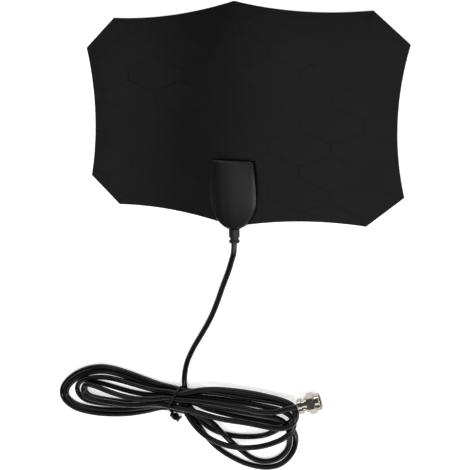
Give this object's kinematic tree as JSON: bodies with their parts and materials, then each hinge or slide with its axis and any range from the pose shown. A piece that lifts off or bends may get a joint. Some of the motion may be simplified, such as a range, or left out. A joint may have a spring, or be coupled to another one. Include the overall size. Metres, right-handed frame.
{
  "type": "indoor tv antenna",
  "caption": "Thin film indoor antenna panel with a honeycomb conductor, moulded feed housing, and a thin coaxial cable tied in a hank that ends in a screw-on plug.",
  "frame": {"origin": "on the floor, under the middle of the panel, housing and boot together", "axes": "+X across the panel to the right as seen from the front, +Y towards the upper peak, +Z out of the front face"},
  "size_m": [0.2634, 0.3101, 0.0156],
  "materials": {
    "film_black": "satin film with a very fine grain",
    "conductor": "thin printed metal",
    "housing_black": "satin moulded plastic",
    "board_green": "solder mask",
    "rivet_brass": "plain",
    "ferrite": "dull grey-black",
    "copper": "bare copper",
    "chip_tan": "ceramic tan",
    "cable_black": "satin PVC jacket",
    "boot_black": "satin moulded PVC",
    "tie_black": "satin",
    "nickel": "bright nickel plate, slightly warm",
    "dielectric_white": "plain"
  },
  "bodies": {
    "antenna": {"front_film": "film_black", "rear_film": "film_black", "left_element": "conductor", "right_element": "conductor", "front_cover": "housing_black", "rear_cover": "housing_black", "circuit_board": "board_green", "left_rivet": "rivet_brass", "right_rivet": "rivet_brass", "balun_core": "ferrite", "balun_winding": "copper", "chip_capacitors": "chip_tan", "cable_inner_end": "cable_black", "cable_dielectric": "dielectric_white", "core_wire": "copper", "braid_tail": "copper", "strain_relief": "boot_black", "cable_lead": "cable_black", "cable_hank": "cable_black", "cable_tie": "tie_black", "cable_tail": "cable_black", "crimp_sleeve": "nickel", "connector_post": "nickel", "plug_dielectric": "dielectric_white", "centre_pin": "copper"},
    "coupling_nut": {"coupling_nut": "nickel"}
  },
  "joints": [
    {"name": "nut_spin", "type": "hinge", "parent": "antenna", "child": "coupling_nut", "pos_m": [0.0479, -0.1778, 0.01075], "axis": [0.9042, 0.3113, -0.2924], "continuous": true}
  ]
}
